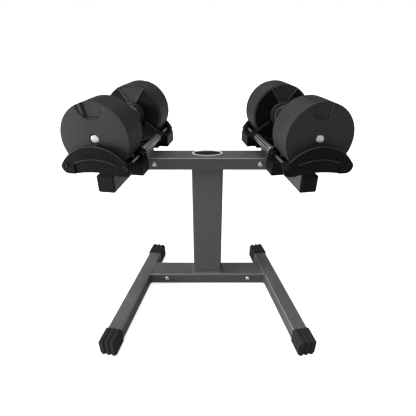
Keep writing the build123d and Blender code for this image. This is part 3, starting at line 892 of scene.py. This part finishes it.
made_ribs = 0
for side, end_name, end in HANDLE_ENDS:
    node = f"{side}_{end_name}_end_support"
    face_y = end_face(node, side, end)
    crown = reach(node, side, 2)[1] - CROWN_RADIUS
    opening = opening_centre(side, end_name)
    # The crown rib and the first opening rib take the lighter lip plastic: a painted highlight.
    ribs = [
        (crown, CROWN_RADIUS - 2.2 * MM, 50, 2.6 * MM, 1.6 * MM, lip),
        (opening, OPENING_RADIUS + 2.5 * MM, 25, 2.4 * MM, 1.4 * MM, lip),
        (opening, OPENING_RADIUS + 8.5 * MM, 25, 2.0 * MM, 1.1 * MM, cradle),
        (opening, OPENING_RADIUS + 14.5 * MM, 24, 2.0 * MM, 0.9 * MM, cradle),
    ]
    for number, (middle_z, radius, degrees, width, height, finish) in enumerate(ribs):
        angle = math.radians(degrees)
        arc_rib(f"{side}_{end_name}_cradle_rib_{number}", side, face_y, end,
                middle_z, radius, (-angle, angle), width, height, finish)
    # The wall lips take the lighter lip plastic too: a painted highlight.
    wall_y = end * (disc_face(side, end_name) - WALL_SETBACK)
    for hand, word in ((-1, "inner"), (1, "outer")):
        angles = sorted((hand * math.radians(24), hand * math.radians(50)))
        arc_rib(f"{side}_{end_name}_{word}_wall_lip", side, wall_y, -end, crown,
                CROWN_RADIUS - 2.0 * MM, angles, 2.6 * MM, 1.4 * MM, lip)
    made_ribs += len(ribs) + 2
print("cradle ribs:", made_ribs)

# %% [markdown]
# ## The web under the arch
# A thin black web closes the arch, so the disc behind doesn't show. It is a lattice between the arch
# and a flatter curve below, with a front, a back and closed edges. Low steps follow the arch.

# %% Webs
WEB_HALF = 61.5 * MM
WEB_THICKNESS = 2.5 * MM
WEB_LOW = 94 * MM
WEB_CROWN = 6 * MM
WEB_COLUMNS = 48
WEB_ROWS = 6
STEP_HEIGHT = 0.8 * MM
STACK_GAP = 13 * MM


def web_rows(x, top_centre):
    """Heights of the lattice's rows at one place across the web, and how far each row stands out."""
    top = top_centre + math.sqrt(OPENING_RADIUS ** 2 - x ** 2) + 0.5 * MM
    bottom = -WEB_LOW + WEB_CROWN * (1 - (x / WEB_HALF) ** 2)
    rows = []
    for row in range(WEB_ROWS):
        share = row / (WEB_ROWS - 1)
        z = top + (bottom - top) * share
        rows.append((z, STEP_HEIGHT * (WEB_ROWS - 1 - row) / 2))
        if 0 < row < WEB_ROWS - 1:
            rows.append((z - 0.4 * MM, STEP_HEIGHT * (WEB_ROWS - 2 - row) / 2))
    return rows


for side, end_name, end in HANDLE_ENDS:
    centre_z = opening_centre(side, end_name)
    behind = abs(end_face(f"{side}_{end_name}_plate_4", side, end)) + STACK_GAP
    verts = []
    for column in range(WEB_COLUMNS + 1):
        x = -WEB_HALF + 2 * WEB_HALF * column / WEB_COLUMNS
        rows = web_rows(x, centre_z)
        for z, out in rows:
            verts.append(placed(side, x, end * (behind + WEB_THICKNESS + out), z))
        for z in (rows[-1][0], rows[0][0]):
            verts.append(placed(side, x, end * behind, z))
    per_column = len(rows) + 2
    faces = join_rings(WEB_COLUMNS + 1, per_column, False)
    faces.append(tuple(range(per_column)))
    faces.append(tuple(WEB_COLUMNS * per_column + i for i in reversed(range(per_column))))
    place_piece(f"{side}_{end_name}_cradle_web", verts, faces, cradle, "stand",
                smooth=False)
print("webs:", len(HANDLE_ENDS))

# %% [markdown]
# ## Caps on the rod ends
# The rods end in the round lobes of the cradle, under low black caps turned from a short profile.

# %% Rod end caps
CAP_ROUND = 40
ROD_CAP_RADIUS = 8.0 * MM
CAP_STEPS = ((-0.1, 1.0), (1.4, 1.0), (2.3, 0.94), (2.8, 0.8), (2.8, 0.55), (2.2, 0.5), (2.2, 0.01))
for side, rod in RODS:
    centre_x, centre_z = rod_centre(side, rod)
    for end_name, end in ENDS:
        face = end_face(f"{side}_{end_name}_end_support", side, end)
        verts = []
        for out, share in CAP_STEPS:
            radii = [ROD_CAP_RADIUS * share] * CAP_ROUND
            verts += ring(side, centre_x, centre_z, face + end * out * MM, radii)
        place_piece(f"{side}_{end_name}_{rod}_rod_cap", verts,
                    join_rings(len(CAP_STEPS), CAP_ROUND, False), cap, "stand")
print("rod caps:", len(RODS) * len(ENDS))

# %% [markdown]
# ## The inner faces of the fixed discs
# Over the handle, each fixed disc shows a raised rim, a wedge with ribbed sides and pockets
# between them. The wedge is in the CAD. The rim lip and side ribs are low strips, and the pockets
# get a thin dull black skin that stops where the wedge begins: painted shade for the pockets in shadow.

# %% Rim lips, pockets and wedge ribs
RIM_LIP_RADIUS = 91.5 * MM
RIM_LIP_WIDTH = 4.0 * MM
RIM_LIP_HEIGHT = 1.4 * MM
HUB_EDGE = 40.5 * MM
POCKET_EDGE = RIM_FROM
POCKET_SKIN = 0.3 * MM
WEDGE_LOW, WEDGE_HIGH = 36 * MM, 84 * MM
WEDGE_NARROW, WEDGE_WIDE = 14 * MM, 46 * MM
WEDGE_RISE = 4 * MM
LIP_STEPS = 180
POCKET_RINGS = 24
POCKET_STEPS = 120
WEDGE_STEPS = 30


def wedge_half(z):
    """Half width of the wedge at a height above the handle."""
    share = min(1.0, max(0.0, (z - WEDGE_LOW) / (WEDGE_HIGH - WEDGE_LOW)))
    return WEDGE_NARROW + (WEDGE_WIDE - WEDGE_NARROW) * share


def pocket_start(radius):
    """Angle from the top at which a circle leaves the wedge."""
    low, high = 0.0, math.pi / 2
    for _ in range(30):
        angle = (low + high) / 2
        inside = radius * math.sin(angle) < wedge_half(radius * math.cos(angle))
        low, high = (angle, high) if inside else (low, angle)
    return low


for side, end_name, end in HANDLE_ENDS:
    face = disc_face(side, end_name)
    body = f"{side}_dumbbell"
    verts = []
    for step in range(LIP_STEPS):
        angle = 2 * math.pi * step / LIP_STEPS
        for wide, tall in RIB_SECTION:
            r = RIM_LIP_RADIUS + RIM_LIP_WIDTH / 2 * wide
            y = end * (face - RIM_LIP_HEIGHT * tall + SINK)
            verts.append(placed(side, r * math.sin(angle), y, r * math.cos(angle)))
    place_piece(f"{side}_{end_name}_rim_lip", verts, join_rings(LIP_STEPS, RIB_SIDES, True),
                iron, body)
    verts = []
    for index in range(POCKET_RINGS + 1):
        radius = HUB_EDGE + (POCKET_EDGE - HUB_EDGE) * index / POCKET_RINGS
        start = pocket_start(radius)
        for step in range(POCKET_STEPS + 1):
            angle = start + (2 * math.pi - 2 * start) * step / POCKET_STEPS
            at_edge = index in (0, POCKET_RINGS) or step in (0, POCKET_STEPS)
            y = end * (face - (0.0 if at_edge else POCKET_SKIN))
            verts.append(placed(side, radius * math.sin(angle), y, radius * math.cos(angle)))
    faces = join_rings(POCKET_RINGS + 1, POCKET_STEPS + 1, False, False)
    # The dull black skin over the pockets is painted shade.
    place_piece(f"{side}_{end_name}_pocket_skin", verts, faces, recess, body)
    for hand, word in ((-1, "inner"), (1, "outer")):
        verts = []
        for i in range(WEDGE_STEPS + 1):
            share = i / WEDGE_STEPS
            z = WEDGE_LOW + 5 * MM + (WEDGE_HIGH - WEDGE_LOW - 4 * MM) * share
            x = hand * (wedge_half(z) - 2.2 * MM - 5 * MM * math.sin(math.pi * share) * (1 - share))
            for wide, tall in RIB_SECTION:
                y = end * (face - WEDGE_RISE - 1.4 * MM * tall + SINK)
                verts.append(placed(side, x + 1.5 * MM * wide, y, z))
        place_piece(f"{side}_{end_name}_{word}_wedge_rib", verts,
                    join_rings(WEDGE_STEPS + 1, RIB_SIDES, False), edge_highlight_iron, body)
    print(body, end_name, "disc inner face mm", round(face / MM, 2))

# %% [markdown]
# ## Shadow lines in the top recess
# Each outermost disc has a round recess at the top with a dovetail slot in it. A thin dull black
# ribbon along the foot of each wall is painted shade.

# %% Recess ribbons
RECESS_HALF = 39 * MM
RECESS_FLOOR = 50 * MM
RECESS_DEPTH = 2 * MM
SLOT_FLOOR = 56 * MM
SLOT_LOW_HALF, SLOT_HIGH_HALF = 18 * MM, 25 * MM
DISC_LIMIT = 94.0 * MM
RIBBON = 1.5 * MM


def recess_path():
    """The round recess's wall foot, as (x, z, outward x, outward z)."""
    path = []
    for i in range(91):
        angle = math.radians(-110 + 220 * i / 90)
        way = (math.sin(angle), -math.cos(angle))
        radius = RECESS_HALF - RIBBON / 2
        x, z = radius * way[0], RECESS_FLOOR + RECESS_HALF + radius * way[1]
        if math.hypot(x, z) < DISC_LIMIT:
            path.append((x, z, *way))
    return path


def slot_path():
    """The dovetail slot's edge, as (x, z, outward x, outward z)."""
    top = math.sqrt(DISC_LIMIT ** 2 - SLOT_HIGH_HALF ** 2)
    corners = [(-SLOT_HIGH_HALF, top), (-SLOT_LOW_HALF, SLOT_FLOOR),
               (SLOT_LOW_HALF, SLOT_FLOOR), (SLOT_HIGH_HALF, top)]
    ways = [(-0.98, -0.18), (-0.77, -0.64), (0.77, -0.64), (0.98, -0.18)]
    path = []
    for (x, z), way in zip(corners, ways):
        path.append((x + way[0] * RIBBON / 2, z + way[1] * RIBBON / 2, *way))
    return path


for side, end_name, end in HANDLE_ENDS:
    face = end_face(f"{side}_{end_name}_plate_4", side, end)
    verts, faces = [], []
    for path in (recess_path(), slot_path()):
        offset = len(verts)
        for x, z, way_x, way_z in path:
            for shift, rise in ((-0.5, 0.02), (0.0, 0.12), (0.5, 0.02)):
                y = face - end * (RECESS_DEPTH - rise * MM)
                verts.append(placed(side, x + shift * RIBBON * way_x, y, z + shift * RIBBON * way_z))
        faces += [tuple(i + offset for i in f) for f in join_rings(len(path), 3, False, False)]
    # Painted shade along the foot of the walls.
    place_piece(f"{side}_{end_name}_recess_shade_ribbon", verts, faces, recess, f"{side}_dumbbell")
print("recess ribbons on", len(HANDLE_ENDS), "discs")

# %% [markdown]
# ## Index rings
# Inside each fixed disc a notched ring shows where the grip stands. The CAD ring shares the disc's
# coating, so a thin skin with the same notches goes over it in the lighter iron with painted edge
# highlights.

# %% Index rings
NOTCHES = 12
RING_RADIUS = 33.3 * MM
NOTCH_FLOOR = 30.3 * MM
NOTCH_HALF = math.radians(4.1)
RING_HOLE = 23 * MM


def notched_outline():
    """(angle, radius) pairs once round the ring."""
    pairs = []
    sector = 2 * math.pi / NOTCHES
    for notch in range(NOTCHES):
        centre = notch * sector
        for part in (-1.0, -0.33, 0.33, 1.0):
            pairs.append((centre + part * NOTCH_HALF, NOTCH_FLOOR))
        start = centre + NOTCH_HALF * 1.02
        stop = centre + sector - NOTCH_HALF * 1.02
        for i in range(9):
            pairs.append((start + (stop - start) * i / 8, RING_RADIUS))
    return pairs


SKIN = 0.15 * MM
SKIN_STEPS = ((-SKIN, 0.0, True), (-SKIN, 0.6 * MM, False), (0.45 * MM, 0.0, False), (8.9 * MM, 0.0, False))
outline = notched_outline()
for side, end_name, end in HANDLE_ENDS:
    near = min(abs(v) for v in reach(f"{side}_{end_name}_handle_end", side, 1))
    verts = []
    for out, cut, hole in SKIN_STEPS:
        for angle, radius in outline:
            r = RING_HOLE if hole else radius - cut
            verts.append(placed(side, r * math.cos(angle), end * (near + out), r * math.sin(angle)))
    place_piece(f"{side}_{end_name}_index_ring", verts, join_rings(len(SKIN_STEPS), len(outline), False),
                edge_highlight_iron, f"{side}_dumbbell", smooth=False)
    print(side, end_name, "index ring from mm", round(near / MM, 1))

# %% [markdown]
# ## Framed tube caps
# The plug in each arm's end has a raised frame: a closed loop with a rounded section, drawn as a
# rounded square.

# %% Cap frames


def rounded_loop(half_x, half_z, corner, steps=6):
    """Points of a rounded rectangle and the outward direction at each."""
    points = []
    for cx, cz, start in ((1, 1, 0), (-1, 1, 90), (-1, -1, 180), (1, -1, 270)):
        for i in range(steps + 1):
            a = math.radians(start + 90 * i / steps)
            way = Vector((math.cos(a), 0, math.sin(a)))
            points.append((Vector((cx * (half_x - corner), 0, cz * (half_z - corner))) + way * corner, way))
    return points


FRAME_WIDTH = 2.6 * MM
FRAME_HEIGHT = 0.9 * MM
FRAME_INSET = 5.0 * MM
for side, end_name, end in HANDLE_ENDS:
    node = f"{side}_{end_name}_arm_cap"
    x0, x1 = reach(node, side, 0)
    z0, z1 = reach(node, side, 2)
    centre = Vector(((x0 + x1) / 2, end_face(node, side, end), (z0 + z1) / 2))
    loop = rounded_loop((x1 - x0) / 2 - FRAME_INSET, (z1 - z0) / 2 - FRAME_INSET, 4 * MM)
    verts = []
    for point, way in loop:
        for wide, tall in RIB_SECTION:
            out = FRAME_HEIGHT * tall - SINK
            shift = way * (FRAME_WIDTH / 2 * wide) + Vector((0, end * out, 0))
            verts.append(handle_frame[side] @ (centre + point + shift))
    place_piece(f"{side}_{end_name}_cap_frame", verts, join_rings(len(loop), RIB_SIDES, True),
                cap, "stand")
print("cap frames:", len(HANDLE_ENDS))

# %% [markdown]
# ## Button-head bolts
# The cross members are also bolted: domed heads with a six-sided key hole, and plain nuts behind.
# The CAD heads have no holes, so the bolts are replaced. The last ring of each dome is squeezed from
# a circle into a hexagon, then pushed inwards.

# %% Bolts
HEAD_RADIUS = 8.0 * MM
HEAD_HEIGHT = 5.0 * MM
SHANK_RADIUS = 5.0 * MM
NUT_HEIGHT = 6.0 * MM
KEY_RADIUS = 3.4 * MM
KEY_DEPTH = 2.6 * MM
BOLT_ROUND = 48


def hexagon(angle, radius):
    """Distance to a hexagon's edge at an angle."""
    part = (angle + math.pi / 6) % (math.pi / 3) - math.pi / 6
    return radius * math.cos(math.pi / 6) / math.cos(part)


def bolt_rings(front, back):
    """Rings of one bolt, front to back: (distance along y, radius, six-sided or not)."""
    face = front + HEAD_HEIGHT
    return [
        (front + KEY_DEPTH, 0.05 * MM, True), (front + KEY_DEPTH, KEY_RADIUS, True),
        (front + 0.2 * MM, KEY_RADIUS, True), (front, KEY_RADIUS + 0.3 * MM, True),
        (front + 0.3 * MM, 4.8 * MM, False), (front + 1.0 * MM, 6.2 * MM, False),
        (front + 2.0 * MM, 7.2 * MM, False), (front + 3.2 * MM, 7.8 * MM, False),
        (face - 0.9 * MM, HEAD_RADIUS, False), (face, HEAD_RADIUS, False),
        (face, SHANK_RADIUS, False), (back - NUT_HEIGHT, SHANK_RADIUS, False),
        (back - NUT_HEIGHT, HEAD_RADIUS, True), (back - 0.8 * MM, HEAD_RADIUS, True),
        (back - 0.1 * MM, HEAD_RADIUS - 1.0 * MM, False), (back - 0.1 * MM, SHANK_RADIUS - 0.2 * MM, False),
        (back, SHANK_RADIUS - 0.8 * MM, False), (back, 0.05 * MM, False),
    ]


for row in ("base", "crossbar"):
    low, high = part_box(f"{row}_bolts")
    bolt_x = high.x - HEAD_RADIUS
    bolt_z = (low.z + high.z) / 2
    verts, faces = [], []
    for sign in (-1, 1):
        rings = bolt_rings(low.y, high.y)
        offset = len(verts)
        for y, radius, six in rings:
            for step in range(BOLT_ROUND):
                angle = 2 * math.pi * step / BOLT_ROUND
                r = hexagon(angle, radius) if six else radius
                verts.append(Vector((sign * bolt_x + r * math.cos(angle), y, bolt_z + r * math.sin(angle))))
        faces += [tuple(i + offset for i in f) for f in join_rings(len(rings), BOLT_ROUND, False)]
    piece = place_piece(f"{row}_button_bolts", verts, faces, zinc, "stand", smooth=False)
    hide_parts(f"{row}_bolts")
    print(piece.name, "at x mm", round(bolt_x / MM, 1), "z mm", round(bolt_z / MM, 1))
